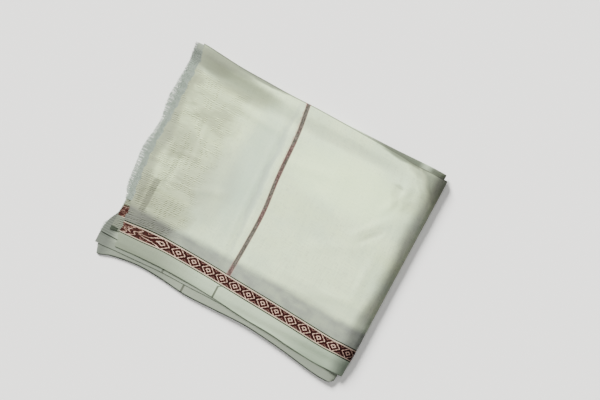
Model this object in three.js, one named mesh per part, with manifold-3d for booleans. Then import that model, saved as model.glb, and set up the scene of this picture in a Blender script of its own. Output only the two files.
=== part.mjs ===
// A cotton shawl, folded into a flat bundle that lies on a surface.
//
// The cloth is one handloom length. It was folded once along its length, so that both selvedges
// came together, and then twice across, which gives eight plies. The two cut ends lie uppermost at
// -X. The outermost doubled length rolls over the bundle at +X and goes down to the surface.
//
//   +X  along the selvedges, from the cut ends to the roll
//   +Y  from the selvedges to the lengthwise fold
//   +Z  up; the origin is the middle of the bundle's footprint, on the surface. Millimetres.

import * as THREE from "three";
import Module from "manifold-3d";
import { mergeVertices } from "three/addons/utils/BufferGeometryUtils.js";

// ---------------------------------------------------------------- driving sizes

const PLY = 1.2; // wall of one ply, with the air that it traps
const AIR = 0.5; // between one ply and the next
const DOUBLED = 2 * PLY + AIR; // a doubled length, from its upper to its lower face

const HEIGHT_AT_ENDS = 13; // the bundle's height towards the cut ends
const HEIGHT_AT_ROLL = 23; // and at the roll, where the folds are bulky
const HALF_LENGTH = 286; // half the footprint along X
const HALF_WIDTH = 240; // and along Y

// How far the top of the bundle sinks towards three of its sides, and over what distance.
const SLUMP = {
  ends: { depth: 2, reach: 80 },
  selvedges: { depth: 2, reach: 85 },
  fold: { depth: 0.8, reach: 60 },
};

// The roll at +X, seen along Y: a long soft shoulder above its widest point, a short tuck below.
const ROLL = {
  start: 250, // X where the cloth leaves the flat top
  shoulder: 36, // from there to the widest point
  tuck: 14, // from the widest point back in, below
  widest: 0.4, // height of the widest point, as a share of the bundle's height
  slack: 4, // how much shorter the shoulder is of what lies inside the outermost length
  step: THREE.MathUtils.degToRad(18), // the turn between one station and the next
  steps: { outermost: 9, inner: 6, rest: 6 }, // stations round it on each length
  run: 6.5, // how far the run coordinate goes on for each station
};

// The edges that run along X: the lengthwise fold of the outermost length and that of the lengths
// below it, and the selvedge of each ply.
const LONG_EDGES = [
  { x: -288, fold: 241, foldBelow: 237, first: -203, second: -172, third: -188, fourth: -213, rest: -236 },
  { x: -262, fold: 240, foldBelow: 238, first: -203, second: -171, third: -188, fourth: -212, rest: -232 },
  { x: -237, fold: 238, foldBelow: 236, first: -202, second: -171, third: -188, fourth: -210, rest: -223 },
  { x: -185, fold: 234, foldBelow: 232, first: -198, second: -170, third: -188, fourth: -207, rest: -215 },
  { x: -134, fold: 233, foldBelow: 231, first: -196, second: -170, third: -188, fourth: -204, rest: -216 },
  { x: -72, fold: 232, foldBelow: 230, first: -197, second: -170, third: -189, fourth: -204, rest: -222 },
  { x: -18, fold: 233, foldBelow: 231, first: -200, second: -170, third: -189, fourth: -203, rest: -221 },
  { x: 62, fold: 232, foldBelow: 233, first: -207, second: -171, third: -190, fourth: -204, rest: -219 },
  { x: 114, fold: 231, foldBelow: 234, first: -209, second: -172, third: -191, fourth: -206, rest: -223 },
  { x: 164, fold: 230, foldBelow: 235, first: -214, second: -172, third: -192, fourth: -209, rest: -229 },
  { x: 218, fold: 227, foldBelow: 237, first: -218, second: -173, third: -193, fourth: -211, rest: -237 },
  { x: 256, fold: 228, foldBelow: 238, first: -217, second: -173, third: -193, fourth: -212, rest: -240 },
  { x: 286, fold: 228, foldBelow: 236, first: -215, second: -173, third: -193, fourth: -212, rest: -236 },
];

// The edges that run along Y: the cut end of each ply, and the lowest fold at -X.
const CUT_ENDS = [
  { y: -240, first: -240, second: -266, third: -279, fourth: -280, rest: -263 },
  { y: -212, first: -240, second: -266, third: -279, fourth: -280, rest: -272 },
  { y: -185, first: -243, second: -266, third: -277, fourth: -279, rest: -273 },
  { y: -160, first: -246, second: -265, third: -270, fourth: -272, rest: -270 },
  { y: -135, first: -249, second: -264, third: -261, fourth: -264, rest: -265 },
  { y: -110, first: -252, second: -262, third: -261, fourth: -264, rest: -265 },
  { y: -60, first: -259, second: -257, third: -270, fourth: -271, rest: -270 },
  { y: 0, first: -264, second: -260, third: -274, fourth: -273, rest: -272 },
  { y: 100, first: -263, second: -260, third: -275, fourth: -274, rest: -273 },
  { y: 200, first: -265, second: -262, third: -279, fourth: -278, rest: -273 },
  { y: 226, first: -269, second: -268, third: -284, fourth: -283, rest: -272 },
  { y: 240, first: -275, second: -275, third: -286, fourth: -285, rest: -270 },
];

// Where air lifts the uppermost ply off the one below: soft swells, each with its middle, its half
// length and half width, the turn of its length from +X in degrees, and its height.
const SWELLS = [
  { x: 60, y: 10, length: 230, width: 120, turn: 0, height: 2.2 },
  { x: -130, y: 40, length: 110, width: 75, turn: -4, height: 1.3 },
  { x: -150, y: 212, length: 120, width: 12, turn: -3, height: 0.9 },
  { x: 195, y: 82, length: 42, width: 9, turn: 48, height: 0.9 },
  { x: 212, y: 150, length: 46, width: 8, turn: 62, height: 0.8 },
  { x: -170, y: -118, length: 70, width: 14, turn: 3, height: 0.8 },
  { x: 120, y: -150, length: 130, width: 16, turn: -2, height: 0.7 },
];

// The swells fade out towards the edges, each over a stretch from `none` to `full`.
const SWELL_FADE = {
  fold: { none: 5, full: 24 }, // in from the fold
  selvedge: { none: -172, full: -140 }, // Y
  ends: { none: -250, full: -215 }, // X
  roll: { none: 250, full: 205 }, // X
};

// The uppermost ply settles on to the next one where a selvedge below it stops.
const SETTLES = [
  { from: -176, to: -188, depth: 1.4 },
  { from: -201, to: -212, depth: 1.4 },
];

// The turns, in degrees, at the steps round a lengthwise fold, between its two plies.
const FOLD_TURNS = [35, 70, 110, 145];

// The frayed cut end of the uppermost ply: yarns on a narrow strip, `gap` off the cloth's end.
const END_FRINGE = {
  from: -106,
  to: 224,
  pitch: 3,
  gap: 0.5,
  strip: 3,
  yarn: 0.95,
  droop: 1.6,
};
const END_FRINGE_TIPS = [
  { y: -106, tip: -266 },
  { y: -80, tip: -275 },
  { y: -50, tip: -278 },
  { y: -22, tip: -282 },
  { y: 0, tip: -285 },
  { y: 20, tip: -284 },
  { y: 38, tip: -280 },
  { y: 58, tip: -278 },
  { y: 78, tip: -279 },
  { y: 98, tip: -282 },
  { y: 118, tip: -285 },
  { y: 140, tip: -283 },
  { y: 170, tip: -282 },
  { y: 194, tip: -281 },
  { y: 208, tip: -284 },
  { y: 224, tip: -288 },
];

// The short fray on the cut end of the doubled length below, where it shows past the others.
const INNER_FRINGE = {
  from: -186,
  to: -157,
  pitch: 3,
  gap: 0.8,
  strip: 2.5,
  yarn: 0.85,
  droop: 0.6,
  length: 5,
};

// How a yarn's tip strays: along the yarn, and to its side. It tapers to a share of its width.
const STRAY = { along: 1.3, aside: 0.8, taper: 0.75 };
const DROOP_REACH = 18; // a yarn has drooped by this far past the end of the cloth below

// The lower plies share one solid. Each side of it shows as many rounded layers as the cloth has
// there: four selvedges at -Y, two folds at +Y and one fold at -X.
const REST = {
  rings: 16,
  lip: 4, // how far a layer's round edge stands out
  fan: 5, // how far the lowest selvedge lies outside the highest
  foldBack: 2, // how far its highest fold lies behind the one above
  layers: { selvedges: 4, fold: 2, ends: 1 },
  tuck: 21, // how far past the start of the roll its underside reaches
  bulge: 1, // how far its round side inside the roll stands out
};

const COLOURS = {
  cloth: 0xd6dacb,
  hidden: 0xc9cdbe,
  yarn: 0xc8cbc0,
};
const ROUGHNESS = 0.92;

// ---------------------------------------------------------------- curves and surfaces

const { lerp, clamp, smoothstep, degToRad } = THREE.MathUtils;

// A smooth curve through one column of a table whose rows stand in rising order of `key`.
function column(table, key, name) {
  const last = table.length - 1;
  const slopeAt = (k) => {
    const before = table[Math.max(k - 1, 0)];
    const after = table[Math.min(k + 1, last)];
    return (after[name] - before[name]) / (after[key] - before[key]);
  };
  return (at) => {
    const inside = clamp(at, table[0][key], table[last][key]);
    const found = table.findIndex((row) => row[key] >= inside);
    const k = Math.max(found, 1);
    const [left, right] = [table[k - 1], table[k]];
    const width = right[key] - left[key];
    const t = (inside - left[key]) / width;
    const bend = t * (1 - t) * ((1 - t) * slopeAt(k - 1) - t * slopeAt(k));
    return lerp(left[name], right[name], t * t * (3 - 2 * t)) + width * bend;
  };
}

const foldLine = column(LONG_EDGES, "x", "fold");
const foldLineBelow = column(LONG_EDGES, "x", "foldBelow");
const PLIES = {};
for (const name of ["first", "second", "third", "fourth", "rest"]) {
  PLIES[name] = {
    selvedge: column(LONG_EDGES, "x", name),
    end: column(CUT_ENDS, "y", name),
  };
}

// How far the top has sunk at a distance from a side.
const sunk = (distance, { depth, reach }) => depth * (1 - clamp(distance / reach, 0, 1)) ** 2;

// Height of the bundle's top, without the swells.
function topHeight(x, y) {
  const risen = smoothstep(x, -HALF_LENGTH, ROLL.start);
  return (
    lerp(HEIGHT_AT_ENDS, HEIGHT_AT_ROLL, risen) -
    sunk(x + HALF_LENGTH, SLUMP.ends) -
    sunk(y + HALF_WIDTH, SLUMP.selvedges) -
    sunk(HALF_WIDTH - y, SLUMP.fold)
  );
}

// 0 at `none` and beyond it, rising to 1 at `full`.
function faded(value, { none, full }) {
  const t = clamp((value - none) / (full - none), 0, 1);
  return t * t * (3 - 2 * t);
}

// How far air lifts the uppermost ply.
function lift(x, y) {
  const fade =
    faded(foldLine(x) - y, SWELL_FADE.fold) *
    faded(y, SWELL_FADE.selvedge) *
    faded(x, SWELL_FADE.ends) *
    faded(x, SWELL_FADE.roll);
  let sum = 0;
  for (const swell of SWELLS) {
    const turn = degToRad(swell.turn);
    const [dx, dy] = [x - swell.x, y - swell.y];
    const along = (dx * Math.cos(turn) + dy * Math.sin(turn)) / swell.length;
    const across = (dy * Math.cos(turn) - dx * Math.sin(turn)) / swell.width;
    sum += swell.height * Math.exp(-(along ** 4) - across ** 2);
  }
  return sum * fade;
}

// How far the uppermost ply settles past the selvedges below it.
function settle(y) {
  return SETTLES.reduce((sum, { from, to, depth }) => {
    return sum + depth * faded(y, { none: from, full: to });
  }, 0);
}

// The point `depth` below the bundle's outermost surface. `run` is X over the flat top, and goes on
// past ROLL.start round the roll, whose layers are nested ellipses.
function place(run, y, depth, slack = 0) {
  if (run <= ROLL.start) return new THREE.Vector3(run, y, topHeight(run, y) - depth);
  const turn = ((run - ROLL.start) / ROLL.run) * ROLL.step;
  const height = topHeight(ROLL.start, y);
  const middle = ROLL.widest * height;
  const upper = turn <= Math.PI / 2;
  const shoulder = ROLL.shoulder - slack;
  const wide = (upper ? shoulder : ROLL.tuck) - depth;
  const tall = (upper ? height - middle : middle) - depth;
  const centre = ROLL.start + (upper ? 0 : shoulder - ROLL.tuck);
  return new THREE.Vector3(centre + wide * Math.sin(turn), y, middle + tall * Math.cos(turn));
}

// Shares from 0 to 1 in a number of steps that are shorter towards both ends.
function shares(steps) {
  return Array.from({ length: steps + 1 }, (_, k) => {
    const even = k / steps;
    const eased = (1 - Math.cos(Math.PI * even)) / 2;
    return (even + eased) / 2;
  });
}

// Values of the run coordinate from a cut end to the roll and round it.
function stations(end, flatSteps, rollSteps) {
  const flat = shares(flatSteps).map((share) => lerp(end, ROLL.start, share));
  const roll = Array.from({ length: rollSteps }, (_, k) => ROLL.start + ROLL.run * (k + 1));
  return [...flat, ...roll];
}

// ---------------------------------------------------------------- solids

function geometryOf(points, triangles) {
  const geometry = new THREE.BufferGeometry().setFromPoints(points);
  geometry.setIndex(triangles);
  geometry.computeVertexNormals();
  return geometry;
}

// A closed wall between two grids of the same size. Seen from outside, the outer grid's rows go
// along +X and its columns along +Y.
function wall(outer, inner) {
  const [rows, columns] = [outer.length, outer[0].length];
  const at = (side, i, j) => (side * rows + i) * columns + j;
  const triangles = [];
  const quad = (a, b, c, d) => triangles.push(a, b, c, a, c, d);
  for (let i = 0; i < rows - 1; i += 1) {
    for (let j = 0; j < columns - 1; j += 1) {
      quad(at(0, i, j), at(0, i + 1, j), at(0, i + 1, j + 1), at(0, i, j + 1));
      quad(at(1, i, j), at(1, i, j + 1), at(1, i + 1, j + 1), at(1, i + 1, j));
    }
  }
  const [lastRow, lastColumn] = [rows - 1, columns - 1];
  for (let i = 0; i < lastRow; i += 1) {
    quad(at(0, i, 0), at(1, i, 0), at(1, i + 1, 0), at(0, i + 1, 0));
    quad(at(0, i + 1, lastColumn), at(1, i + 1, lastColumn), at(1, i, lastColumn), at(0, i, lastColumn));
  }
  for (let j = 0; j < lastColumn; j += 1) {
    quad(at(0, 0, j + 1), at(1, 0, j + 1), at(1, 0, j), at(0, 0, j));
    quad(at(0, lastRow, j), at(1, lastRow, j), at(1, lastRow, j + 1), at(0, lastRow, j + 1));
  }
  return geometryOf([...outer.flat(), ...inner.flat()], triangles);
}

// A doubled length: along its upper ply from the selvedge to the fold, round the fold, and back
// along its lower ply to the other selvedge. `depth` is that of its upper face.
function doubledLength(length) {
  const { upper, lower, depth, fold, slack, steps, loose } = length;
  const bend = DOUBLED / 2;
  const lines = [
    ...shares(steps.upper).map((share) => ({ ply: upper, share, turn: 0 })),
    ...FOLD_TURNS.map((turn) => ({ ply: turn < 90 ? upper : lower, share: 1, turn })),
    ...shares(steps.lower).map((share) => ({ ply: lower, share: 1 - share, turn: 180 })),
  ];
  const grids = [bend, bend - PLY].map((radius) => {
    const linesOfPoints = lines.map(({ ply, share, turn }) => {
      const aside = radius * Math.sin(degToRad(turn));
      const down = bend - radius * Math.cos(degToRad(turn));
      const acrossAt = (run) => lerp(ply.selvedge(run), fold(run) - bend, share);
      const end = ply.end(acrossAt(ply.end(0)));
      return stations(end, steps.flat, steps.roll).map((run) => {
        const y = acrossAt(run);
        const air = loose && turn === 0 ? settle(y) - lift(run, y) : 0;
        return place(run, y + aside, depth + down + air, slack);
      });
    });
    return linesOfPoints[0].map((_, i) => linesOfPoints.map((line) => line[i]));
  });
  return wall(...grids);
}

// The lower plies as one solid under the doubled lengths, with rounded layers at its edges.
function lowerPlies({ depth, steps }) {
  const { selvedge, end } = PLIES.rest;
  const lines = shares(steps.across).map((share) => {
    const acrossAt = (run) => {
      const near = selvedge(run) + REST.lip + REST.fan;
      const far = foldLineBelow(run) - REST.foldBack - REST.lip;
      return lerp(near, far, share);
    };
    const start = end(acrossAt(end(0))) + REST.lip;
    return stations(start, steps.flat, steps.roll).map((run) => ({
      run,
      top: place(run, acrossAt(run), depth, ROLL.slack),
    }));
  });
  const [rows, columns] = [lines[0].length, lines.length];
  const [lastRow, lastColumn] = [rows - 1, columns - 1];

  // The rim of the top, once round.
  const rim = [];
  for (let i = 0; i < lastRow; i += 1) rim.push([i, 0]);
  for (let j = 0; j < lastColumn; j += 1) rim.push([lastRow, j]);
  for (let i = lastRow; i > 0; i -= 1) rim.push([i, lastColumn]);
  for (let j = lastColumn; j > 0; j -= 1) rim.push([0, j]);

  // How far round layers stand out at a share of the way down.
  const roundLayers = (share, count, out = REST.lip) => {
    return out * (1 - Math.abs(Math.cos(Math.PI * count * share)) ** 3);
  };
  const rollRun = ROLL.run * steps.roll;
  const ringPoint = ([i, j], share) => {
    const { run, top } = lines[j][i];
    const rolled = clamp((run - ROLL.start) / rollRun, 0, 1);
    const floorX = rolled > 0 ? ROLL.start + REST.tuck * rolled : top.x;
    const point = top.clone().lerp(new THREE.Vector3(floorX, top.y, 0), share);
    if (j === 0) {
      point.y -= roundLayers(share, REST.layers.selvedges) * (1 - rolled) + REST.fan * share;
    }
    if (j === lastColumn) point.y += roundLayers(share, REST.layers.fold);
    if (i === 0) point.x -= roundLayers(share, REST.layers.ends);
    if (i === lastRow) point.x += roundLayers(share, REST.layers.ends, REST.bulge);
    return point;
  };

  const points = [];
  const triangles = [];
  const quad = (a, b, c, d) => triangles.push(a, b, c, a, c, d);
  const at = (i, j) => i * columns + j;
  for (let i = 0; i < rows; i += 1) points.push(...lines.map((line) => line[i].top));
  for (let i = 0; i < lastRow; i += 1) {
    for (let j = 0; j < lastColumn; j += 1) {
      quad(at(i, j), at(i + 1, j), at(i + 1, j + 1), at(i, j + 1));
    }
  }
  let ring = rim.map(([i, j]) => at(i, j));
  for (let k = 1; k <= REST.rings; k += 1) {
    const first = points.length;
    points.push(...rim.map((corner) => ringPoint(corner, k / REST.rings)));
    const next = rim.map((_, n) => first + n);
    const above = ring;
    next.forEach((below, n) => {
      const m = (n + 1) % rim.length;
      quad(above[n], below, next[m], above[m]);
    });
    ring = next;
  }

  // The flat underside: a fan about its middle.
  const middle = points.push(new THREE.Vector3()) - 1;
  ring.forEach((corner, n) => triangles.push(middle, ring[(n + 1) % rim.length], corner));
  return geometryOf(points, triangles);
}

// ---------------------------------------------------------------- fringes

const wasm = await Module();
wasm.setup();
const WELD = 1e-4;

function solidOf(geometry) {
  geometry.deleteAttribute("normal");
  const welded = mergeVertices(geometry, WELD);
  return new wasm.Manifold(
    new wasm.Mesh({
      numProp: 3,
      vertProperties: welded.attributes.position.array,
      triVerts: new Uint32Array(welded.index.array),
    }),
  );
}

function geometryOfSolid(solid) {
  const mesh = solid.getMesh();
  const geometry = new THREE.BufferGeometry();
  geometry.setAttribute("position", new THREE.BufferAttribute(mesh.vertProperties, 3));
  geometry.setIndex(new THREE.BufferAttribute(mesh.triVerts, 1));
  geometry.computeVertexNormals();
  return geometry;
}

// One yarn: a three-sided tapering prism through the given centres, from its root to its tip.
function yarn(centres, width) {
  const last = centres.length - 1;
  const points = centres.flatMap((centre, k) => {
    const half = (width / 2) * lerp(1, STRAY.taper, k / last);
    return [
      new THREE.Vector3(centre.x, centre.y - half, centre.z - half),
      new THREE.Vector3(centre.x, centre.y + half, centre.z - half),
      new THREE.Vector3(centre.x, centre.y, centre.z + half),
    ];
  });
  const triangles = [0, 1, 2];
  for (let k = 0; k < last; k += 1) {
    for (let side = 0; side < 3; side += 1) {
      const [a, b] = [3 * k + side, 3 * k + ((side + 1) % 3)];
      triangles.push(a, a + 3, b, b, a + 3, b + 3);
    }
  }
  triangles.push(3 * last, 3 * last + 2, 3 * last + 1);
  return geometryOf(points, triangles);
}

// A frayed cut end: a narrow strip beside the ply's end, with yarns that lie out past it and droop
// once they are past the end of the ply below.
function fringe({ size, depth, end, endBelow, tipAt }) {
  const span = size.to - size.from;
  const stripSteps = Math.round(span / (4 * size.pitch));
  const stripFace = (deeper) =>
    [size.gap + size.strip, size.gap].map((back) =>
      Array.from({ length: stripSteps + 1 }, (_, k) => {
        const y = lerp(size.from, size.to, k / stripSteps);
        return place(end(y) - back, y, depth + deeper);
      }),
    );
  let solid = solidOf(wall(stripFace(0), stripFace(PLY)));
  const yarns = Math.floor((span - 2 * size.yarn) / size.pitch) + 1;
  for (let k = 0; k < yarns; k += 1) {
    const y = lerp(size.from + size.yarn, size.to - size.yarn, k / (yarns - 1));
    const root = end(y) - size.gap - size.strip / 2;
    const tip = tipAt(y) + STRAY.along * Math.sin(k * k);
    const aside = STRAY.aside * Math.cos(k * k);
    const centres = [0, 0.5, 1].map((share) => {
      const x = lerp(root, tip, share);
      const drooped = size.droop * smoothstep(endBelow(y) - x, 0, DROOP_REACH);
      return place(x, y + aside * share * share, depth + PLY / 2 + drooped);
    });
    solid = solid.add(solidOf(yarn(centres, size.yarn)));
  }
  return geometryOfSolid(solid);
}

// ---------------------------------------------------------------- the shawl

const shawl = new THREE.Group();
shawl.name = "folded_cotton_shawl";

function addPiece(name, geometry, color) {
  const material = new THREE.MeshStandardMaterial({ color, roughness: ROUGHNESS, metalness: 0 });
  const mesh = new THREE.Mesh(geometry, material);
  mesh.name = name;
  shawl.add(mesh);
}

addPiece(
  "end_panel",
  doubledLength({
    upper: PLIES.first,
    lower: PLIES.second,
    depth: 0,
    fold: foldLine,
    slack: 0,
    steps: { upper: 19, lower: 9, flat: 19, roll: ROLL.steps.outermost },
    loose: true,
  }),
  COLOURS.cloth,
);

addPiece(
  "inner_panel",
  doubledLength({
    upper: PLIES.third,
    lower: PLIES.fourth,
    depth: DOUBLED + AIR,
    fold: foldLineBelow,
    slack: ROLL.slack,
    steps: { upper: 9, lower: 9, flat: 12, roll: ROLL.steps.inner },
    loose: false,
  }),
  COLOURS.cloth,
);

addPiece(
  "lower_plies",
  lowerPlies({
    depth: 2 * (DOUBLED + AIR),
    steps: { across: 12, flat: 14, roll: ROLL.steps.rest },
  }),
  COLOURS.hidden,
);

addPiece(
  "end_fringe",
  fringe({
    size: END_FRINGE,
    depth: 0,
    end: PLIES.first.end,
    endBelow: PLIES.second.end,
    tipAt: column(END_FRINGE_TIPS, "y", "tip"),
  }),
  COLOURS.yarn,
);

addPiece(
  "inner_fringe",
  fringe({
    size: INNER_FRINGE,
    depth: DOUBLED + AIR,
    end: PLIES.third.end,
    endBelow: PLIES.fourth.end,
    tipAt: (y) => PLIES.third.end(y) - INNER_FRINGE.gap - INNER_FRINGE.length,
  }),
  COLOURS.yarn,
);

export default shawl;
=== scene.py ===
# %% [markdown]
# # A cotton shawl, folded flat
#
# A handloom shawl is one length of cloth. Nobody cuts it into parts or sews anything to it. Its
# long edges are selvedges, its short ones are frayed, and its border and cross stripe are woven
# in. This one was folded once along its length and then twice across, so it lies in eight plies.
# It could be modelled as one soft block, or dropped as a simulated cloth. A block shows no
# layers, and a simulation of eight touching plies is slow and hard to steer. So each doubled
# length starts as a flat grid of threads and is folded by a formula, as hands would fold it.

# %% Load the frame
import math
import random

import bpy
import numpy as np
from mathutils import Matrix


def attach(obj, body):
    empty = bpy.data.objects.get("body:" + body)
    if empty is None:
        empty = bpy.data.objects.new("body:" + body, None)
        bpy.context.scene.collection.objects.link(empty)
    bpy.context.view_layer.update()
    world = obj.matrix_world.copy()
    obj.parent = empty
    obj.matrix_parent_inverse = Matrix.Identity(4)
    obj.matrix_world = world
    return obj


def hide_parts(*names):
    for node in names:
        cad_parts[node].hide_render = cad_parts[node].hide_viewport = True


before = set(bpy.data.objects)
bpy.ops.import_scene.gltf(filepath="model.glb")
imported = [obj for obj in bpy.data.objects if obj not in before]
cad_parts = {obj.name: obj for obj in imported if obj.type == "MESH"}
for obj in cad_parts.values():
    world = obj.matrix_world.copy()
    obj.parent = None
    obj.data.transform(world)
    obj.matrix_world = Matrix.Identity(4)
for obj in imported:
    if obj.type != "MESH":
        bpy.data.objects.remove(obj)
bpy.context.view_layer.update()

# %% [markdown]
# ## The camera
#
# The shawl is seen from straight above, turned on the table. A long lens from high up keeps its
# sides as parallel as they look. The camera stands over a point a little off the shawl's middle.

# %% Set up the camera
PICTURE_WIDTH = 1.2  # metres of table that the picture spans
LENS = 120.0
SENSOR = 36.0
TURN = math.radians(28.3)
LOOKS_AT = (0.043, 0.055)
CLOTH_LEVEL = 0.016

camera_height = CLOTH_LEVEL + PICTURE_WIDTH * LENS / SENSOR
bpy.ops.object.select_all(action="DESELECT")
bpy.ops.object.camera_add(location=(*LOOKS_AT, camera_height), rotation=(0, 0, TURN))
camera = bpy.context.object
camera.name = "overhead_camera"
camera.data.lens = LENS
camera.data.sensor_width = SENSOR
bpy.context.scene.camera = camera
print("the camera is", round(camera_height, 2), "m up")

# %% [markdown]
# ## The table and the light
#
# The floor is plain and pale. A wide soft key light stands low beyond the cut ends, so every
# shallow crease shows and the roll at the other end turns away from it and grows dark. A panel
# overhead and a dim sky fill the shadows. One lamp overhead would be simpler, but it would leave
# the cloth looking flat.

# %% Lay the floor
FLOOR_SIZE = 8.0
FLOOR_PAINT = (0.93, 0.93, 0.925, 1)
FLOOR_ROUGHNESS = 0.8

bpy.ops.object.select_all(action="DESELECT")
bpy.ops.mesh.primitive_plane_add(size=FLOOR_SIZE, location=(0, 0, 0))
floor = bpy.context.object
floor.name = "pale_floor"
floor_paint = bpy.data.materials.new("pale_floor_paint")
floor_paint.use_nodes = True
floor_shader = floor_paint.node_tree.nodes["Principled BSDF"]
floor_shader.inputs["Base Color"].default_value = FLOOR_PAINT
floor_shader.inputs["Roughness"].default_value = FLOOR_ROUGHNESS
floor.data.materials.append(floor_paint)
print("floor of", FLOOR_SIZE, "m")

# %% Hang the lights
KEY_HEIGHT = math.radians(26)  # how high the key light stands
KEY_FROM = (-0.8, 0.6)  # and from which side it comes
KEY_STRENGTH = 13.8
KEY_SOFTNESS = math.radians(20)
KEY_COLOUR = (1, 0.985, 0.95)
PANEL_PLACE = (0.1, 0.0, 4.8)
PANEL_SIZE = 3.0
PANEL_WATTS = 70
PANEL_COLOUR = (1, 0.99, 0.96)
SKY_COLOUR = (1, 1, 0.98, 1)
SKY_STRENGTH = 0.25

bpy.ops.object.light_add(type="SUN", location=(-3, 2, 3))
key = bpy.context.object
key.name = "key_light"
key.data.energy = KEY_STRENGTH
key.data.angle = KEY_SOFTNESS
key.data.color = KEY_COLOUR
key.rotation_euler = (math.pi / 2 - KEY_HEIGHT, 0, math.atan2(-KEY_FROM[0], KEY_FROM[1]) + math.pi)

bpy.ops.object.light_add(type="AREA", location=PANEL_PLACE)
overhead = bpy.context.object
overhead.name = "overhead_panel"
overhead.data.size = PANEL_SIZE
overhead.data.energy = PANEL_WATTS
overhead.data.color = PANEL_COLOUR

world = bpy.data.worlds.new("plain_studio")
bpy.context.scene.world = world
world.use_nodes = True
sky = world.node_tree.nodes["Background"]
sky.inputs["Color"].default_value = SKY_COLOUR
sky.inputs["Strength"].default_value = SKY_STRENGTH
print("a key light, an overhead panel and a dim plain sky")

# %% [markdown]
# ## The sizes of the folded bundle
#
# These are the same sizes as the solid model's, in millimetres. Two tables say where the edges
# of the plies run. A smooth line through each column gives the edge at any place.

# %% Smooth lines through tables
MM = 0.001


def mix(a, b, share):
    return a + (b - a) * share


def eased(value):
    share = np.clip(value, 0, 1)
    return share * share * (3 - 2 * share)


def faded(value, none, full):
    """0 where the value is none, 1 where it is full, eased between."""
    return eased((value - none) / (full - none))


def smooth_line(stations, values):
    """A curve through values at rising stations, with no corners."""
    at, to = np.array(stations, float), np.array(values, float)
    slope = np.gradient(to, at)
    slope[1:-1] = (to[2:] - to[:-2]) / (at[2:] - at[:-2])

    def line(where):
        where = np.clip(where, at[0], at[-1])
        k = np.clip(np.searchsorted(at, where, side="right") - 1, 0, len(at) - 2)
        width = at[k + 1] - at[k]
        t = (where - at[k]) / width
        bend = t * (1 - t) * ((1 - t) * slope[k] - t * slope[k + 1])
        return mix(to[k], to[k + 1], t * t * (3 - 2 * t)) + width * bend

    return line


# %% Where the long edges run
LONG_X = [-288, -262, -237, -185, -134, -72, -18, 62, 114, 164, 218, 256, 286]
FOLD = smooth_line(LONG_X, [241, 240, 238, 234, 233, 232, 233, 232, 231, 230, 227, 228, 228])
FOLD_BELOW = smooth_line(LONG_X, [237, 238, 236, 232, 231, 230, 231, 233, 234, 235, 237, 238, 236])
SELVEDGE = {
    "first": [-203, -203, -202, -198, -196, -197, -200, -207, -209, -214, -218, -217, -215],
    "second": [-177, -176, -171, -170, -170, -170, -170, -171, -172, -172, -173, -173, -173],
    "third": [-188, -188, -188, -188, -188, -189, -189, -190, -191, -192, -193, -193, -193],
    "fourth": [-213, -212, -210, -207, -204, -204, -203, -204, -206, -209, -211, -212, -212],
    "rest": [-236, -232, -223, -215, -216, -222, -221, -219, -223, -229, -237, -240, -236],
}
SELVEDGE = {ply: smooth_line(LONG_X, edge) for ply, edge in SELVEDGE.items()}
print("the folded cloth is", round(float(FOLD(0) - SELVEDGE["rest"](0))), "mm wide in the middle")

# %% Where the short edges run
SHORT_Y = [-240, -212, -185, -160, -135, -110, -60, 0, 100, 200, 226, 240]
SHORT_END = {
    "first": [-240, -240, -243, -246, -249, -252, -259, -264, -263, -265, -269, -275],
    "second": [-266, -266, -266, -265, -264, -262, -257, -260, -260, -262, -268, -275],
    "third": [-279, -279, -279, -275, -262, -261, -270, -274, -275, -279, -284, -286],
    "fourth": [-280, -280, -280, -276, -265, -264, -271, -273, -274, -278, -283, -285],
    "rest": [-263, -272, -273, -270, -265, -265, -270, -272, -273, -273, -272, -270],
}
SHORT_END = {ply: smooth_line(SHORT_Y, end) for ply, end in SHORT_END.items()}
even_end = SHORT_END["first"]


def ragged_end(y):
    """The cut end of the uppermost ply wavers by a millimetre or two."""
    waver = 1.3 * np.sin(0.19 * y) + 0.9 * np.sin(0.43 * y + 1) + 0.6 * np.sin(0.71 * y)
    return even_end(y) + waver


SHORT_END["first"] = ragged_end
print("edges of", len(SELVEDGE), "plies")

# %% [markdown]
# ## How high the cloth lies
#
# The bundle is low at the cut ends and higher at the roll, where the folds are bulky. It slumps
# a little towards its edges. Broad shallow troughs go down through all the plies. The uppermost
# ply also rides on trapped air, and has creases of its own. Each was placed one by one.

# %% Height of the bundle
PLY = 1.2
AIR = 0.5
DOUBLED = 2 * PLY + AIR
BEND = DOUBLED / 2  # radius of the lengthwise fold
AT_ENDS, AT_ROLL = 13, 23
HALF_LENGTH, HALF_WIDTH = 286, 240
ROLL_START = 250
LEAST_HEIGHT = 10.4  # of all eight plies, pressed together
PRESSED = 0.45  # share by which the selvedges are pressed together
END_SLUMP = (2, 80)  # how deep the bundle slumps at the cut ends, and how far in
SELVEDGE_SLUMP = (2, 85)
FOLD_SLUMP = (0.8, 60)


def sunk(distance, depth, reach):
    return depth * (1 - np.clip(distance / reach, 0, 1)) ** 2


THROUGH_ALL = [  # middle (x, y), half length, half width, turn in degrees, height
    (-225, 196, 130, 21, -3.0, -3.2),
    (-90, 186, 110, 15, -4.0, -1.8),
    (70, 194, 140, 17, 1.0, -1.4),
    (-41, 60, 9, 170, 3.0, -0.7),
    (-255, 60, 12, 60, 4.0, 0.6),
    (-180, 20, 90, 30, 8.0, -0.5),
    (130, -60, 150, 28, -6.0, -0.4),
    (205, 12, 22, 120, 4.0, -0.5),
]


def in_oval(x, y, middle_x, middle_y, length, width, turn):
    """How far along and across a turned oval a place lies; 1 is at its edge."""
    c, s = math.cos(math.radians(turn)), math.sin(math.radians(turn))
    along = ((x - middle_x) * c + (y - middle_y) * s) / length
    return along, ((y - middle_y) * c - (x - middle_x) * s) / width


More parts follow.
